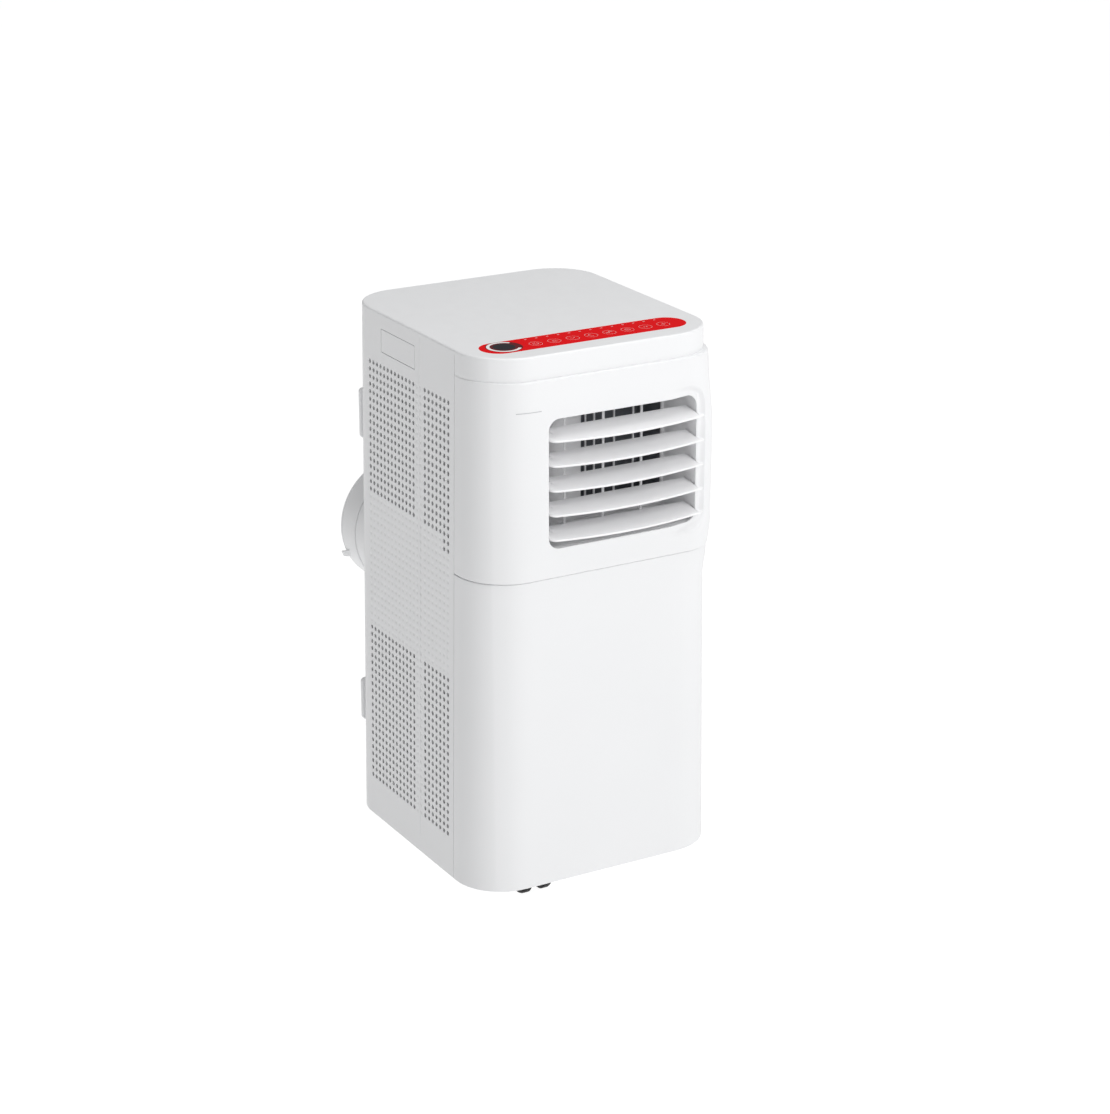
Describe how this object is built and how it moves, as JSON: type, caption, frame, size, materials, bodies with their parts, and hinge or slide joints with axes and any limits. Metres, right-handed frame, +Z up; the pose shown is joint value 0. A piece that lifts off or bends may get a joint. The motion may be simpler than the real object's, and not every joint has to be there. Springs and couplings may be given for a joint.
{
  "type": "portable air conditioner",
  "caption": "Upright portable air conditioner with louvred front air outlet, perforated sides, touch panel on top, rear exhaust hose adapter and casters.",
  "frame": {"origin": "centre of the object's outer box, on the floor under the casters", "axes": "+Z up, the front with the air outlet faces -Y, +X to the right seen from the front"},
  "size_m": [0.3394, 0.4096, 0.683],
  "materials": {
    "shell_white": "fine satin moulded plastic",
    "inner_white": "smooth moulded plastic",
    "panel_red": "gloss printed overlay",
    "board": "coated circuit board",
    "foam_grey": "moulded foam",
    "filter_grey": "fine mesh",
    "black_plastic": "moulded nylon",
    "rubber": "soft rubber",
    "motor_steel": "zinc plated steel",
    "capacitor_can": "drawn can",
    "coil_fins": "fin stock",
    "copper_tube": "drawn copper tube",
    "compressor_black": "black paint"
  },
  "bodies": {
    "root": {"top_cover": "shell_white", "control_panel": "panel_red", "display_board": "board", "front_upper_shell": "shell_white", "front_lower_panel": "shell_white", "side_panel_left": "shell_white", "side_panel_right": "shell_white", "rear_shell": "shell_white", "base_pan": "inner_white", "partition": "inner_white", "swing_motor": "motor_steel", "outlet_duct": "inner_white", "upper_volute": "foam_grey", "upper_fan_motor": "motor_steel", "evaporator_coil": "coil_fins", "evaporator_tray": "inner_white", "lower_volute": "foam_grey", "lower_fan_motor": "motor_steel", "condenser_coil": "coil_fins", "compressor": "compressor_black", "compressor_grommets": "rubber", "refrigerant_pipes": "copper_tube", "slinger_motor": "motor_steel", "control_box": "motor_steel", "main_board": "board", "run_capacitor": "capacitor_can", "cord_hooks": "shell_white", "cord_gland": "black_plastic", "rear_screws": "motor_steel"},
    "handle_left": {"handle_flap_left": "shell_white"},
    "handle_right": {"handle_flap_right": "shell_white"},
    "louver_1": {"louver_blade_1": "inner_white"},
    "louver_2": {"louver_blade_2": "inner_white"},
    "louver_3": {"louver_blade_3": "inner_white"},
    "louver_4": {"louver_blade_4": "inner_white"},
    "louver_5": {"louver_blade_5": "inner_white"},
    "louver_link": {"louver_link": "inner_white"},
    "vane_1": {"vane_1": "inner_white"},
    "vane_2": {"vane_2": "inner_white"},
    "vane_3": {"vane_3": "inner_white"},
    "vane_link": {"vane_link": "inner_white"},
    "upper_blower": {"upper_blower_wheel": "black_plastic"},
    "lower_blower": {"lower_blower_wheel": "black_plastic"},
    "slinger": {"slinger_wheel": "black_plastic"},
    "upper_filter_cover": {"upper_intake_grille": "shell_white", "upper_filter": "filter_grey"},
    "lower_filter_cover": {"lower_intake_grille": "shell_white", "lower_filter": "filter_grey"},
    "hose_adapter": {"hose_adapter": "shell_white"},
    "upper_drain_plug": {"upper_drain_plug": "rubber"},
    "lower_drain_plug": {"lower_drain_plug": "rubber"},
    "caster_swivel_1": {"caster_fork_1": "black_plastic"},
    "caster_swivel_2": {"caster_fork_2": "black_plastic"},
    "caster_swivel_3": {"caster_fork_3": "black_plastic"},
    "caster_swivel_4": {"caster_fork_4": "black_plastic"},
    "caster_roll_1": {"caster_wheels_1": "black_plastic"},
    "caster_roll_2": {"caster_wheels_2": "black_plastic"},
    "caster_roll_3": {"caster_wheels_3": "black_plastic"},
    "caster_roll_4": {"caster_wheels_4": "black_plastic"}
  },
  "joints": [
    {"name": "handle_left_swing", "type": "hinge", "parent": "root", "child": "handle_left", "pos_m": [-0.15543, 0.02434, 0.66153], "axis": [0, 1, 0], "range_deg": [-60, 0], "stiffness_Nm_per_rad": 0.02, "springref_deg": 8.59},
    {"name": "handle_right_swing", "type": "hinge", "parent": "root", "child": "handle_right", "pos_m": [0.15543, 0.02434, 0.66153], "axis": [0, 1, 0], "range_deg": [0, 60], "stiffness_Nm_per_rad": 0.02, "springref_deg": -8.59},
    {"name": "louver_1_tilt", "type": "hinge", "parent": "root", "child": "louver_1", "pos_m": [0.0238, -0.17316, 0.584], "axis": [1, 0, 0], "range_deg": [-35, 4]},
    {"name": "louver_2_tilt", "type": "hinge", "parent": "root", "child": "louver_2", "pos_m": [0.0238, -0.17316, 0.5541], "axis": [1, 0, 0], "range_deg": [-35, 4]},
    {"name": "louver_3_tilt", "type": "hinge", "parent": "root", "child": "louver_3", "pos_m": [0.0238, -0.17316, 0.5242], "axis": [1, 0, 0], "range_deg": [-35, 4]},
    {"name": "louver_4_tilt", "type": "hinge", "parent": "root", "child": "louver_4", "pos_m": [0.0238, -0.17316, 0.4943], "axis": [1, 0, 0], "range_deg": [-35, 4]},
    {"name": "louver_5_tilt", "type": "hinge", "parent": "root", "child": "louver_5", "pos_m": [0.0238, -0.17316, 0.4644], "axis": [1, 0, 0], "range_deg": [-35, 4]},
    {"name": "louver_link_turn", "type": "hinge", "parent": "louver_1", "child": "louver_link", "pos_m": [-0.0697, -0.16441, 0.58047], "axis": [1, 0, 0], "range_deg": [-4, 35]},
    {"name": "vane_1_turn", "type": "hinge", "parent": "root", "child": "vane_1", "pos_m": [-0.0286, -0.14116, 0.528], "axis": [0, 0, 1], "range_deg": [-5, 65]},
    {"name": "vane_2_turn", "type": "hinge", "parent": "root", "child": "vane_2", "pos_m": [0.0238, -0.14116, 0.528], "axis": [0, 0, 1], "range_deg": [-5, 65]},
    {"name": "vane_3_turn", "type": "hinge", "parent": "root", "child": "vane_3", "pos_m": [0.0762, -0.14116, 0.528], "axis": [0, 0, 1], "range_deg": [-5, 65]},
    {"name": "vane_link_turn", "type": "hinge", "parent": "vane_1", "child": "vane_link", "pos_m": [-0.0236, -0.1325, 0.4545], "axis": [0, 0, 1], "range_deg": [-65, 5]},
    {"name": "upper_blower_spin", "type": "hinge", "parent": "root", "child": "upper_blower", "pos_m": [0.024, -0.07966, 0.372], "axis": [0, 1, 0], "continuous": true},
    {"name": "lower_blower_spin", "type": "hinge", "parent": "root", "child": "lower_blower", "pos_m": [-0.072, 0.06884, 0.165], "axis": [0, 1, 0], "continuous": true},
    {"name": "slinger_spin", "type": "hinge", "parent": "root", "child": "slinger", "pos_m": [0.03, 0.09884, 0.08], "axis": [0, 1, 0], "continuous": true},
    {"name": "hose_adapter_twist", "type": "hinge", "parent": "root", "child": "hose_adapter", "pos_m": [-0.072, 0.18484, 0.372], "axis": [0, 1, 0], "range_deg": [-25, 0]},
    {"name": "upper_filter_pull", "type": "slide", "parent": "root", "child": "upper_filter_cover", "axis": [0, 1, 0], "range_m": [0, 0.04]},
    {"name": "lower_filter_pull", "type": "slide", "parent": "root", "child": "lower_filter_cover", "axis": [0, 1, 0], "range_m": [0, 0.04]},
    {"name": "upper_drain_pull", "type": "slide", "parent": "root", "child": "upper_drain_plug", "axis": [0, 1, 0], "range_m": [0, 0.015]},
    {"name": "lower_drain_pull", "type": "slide", "parent": "root", "child": "lower_drain_plug", "axis": [0, 1, 0], "range_m": [0, 0.015]},
    {"name": "caster_1_swivel", "type": "hinge", "parent": "root", "child": "caster_swivel_1", "pos_m": [-0.081, -0.13716, 0.05], "axis": [0, 0, 1], "continuous": true},
    {"name": "caster_1_roll", "type": "hinge", "parent": "caster_swivel_1", "child": "caster_roll_1", "pos_m": [-0.081, -0.15116, 0.02], "axis": [1, 0, 0], "continuous": true},
    {"name": "caster_2_swivel", "type": "hinge", "parent": "root", "child": "caster_swivel_2", "pos_m": [0.081, -0.13716, 0.05], "axis": [0, 0, 1], "continuous": true},
    {"name": "caster_2_roll", "type": "hinge", "parent": "caster_swivel_2", "child": "caster_roll_2", "pos_m": [0.081, -0.12316, 0.02], "axis": [1, 0, 0], "continuous": true},
    {"name": "caster_3_swivel", "type": "hinge", "parent": "root", "child": "caster_swivel_3", "pos_m": [-0.081, 0.11484, 0.05], "axis": [0, 0, 1], "continuous": true},
    {"name": "caster_3_roll", "type": "hinge", "parent": "caster_swivel_3", "child": "caster_roll_3", "pos_m": [-0.081, 0.10084, 0.02], "axis": [1, 0, 0], "continuous": true},
    {"name": "caster_4_swivel", "type": "hinge", "parent": "root", "child": "caster_swivel_4", "pos_m": [0.081, 0.11484, 0.05], "axis": [0, 0, 1], "continuous": true},
    {"name": "caster_4_roll", "type": "hinge", "parent": "caster_swivel_4", "child": "caster_roll_4", "pos_m": [0.081, 0.10084, 0.02], "axis": [1, 0, 0], "continuous": true}
  ],
  "couplings": [
    {"joint": "louver_2_tilt", "follows": "louver_1_tilt", "ratio": 1},
    {"joint": "louver_3_tilt", "follows": "louver_1_tilt", "ratio": 1},
    {"joint": "louver_4_tilt", "follows": "louver_1_tilt", "ratio": 1},
    {"joint": "louver_5_tilt", "follows": "louver_1_tilt", "ratio": 1},
    {"joint": "louver_link_turn", "follows": "louver_1_tilt", "ratio": -1},
    {"joint": "vane_2_turn", "follows": "vane_1_turn", "ratio": 1},
    {"joint": "vane_3_turn", "follows": "vane_1_turn", "ratio": 1},
    {"joint": "vane_link_turn", "follows": "vane_1_turn", "ratio": -1}
  ]
}
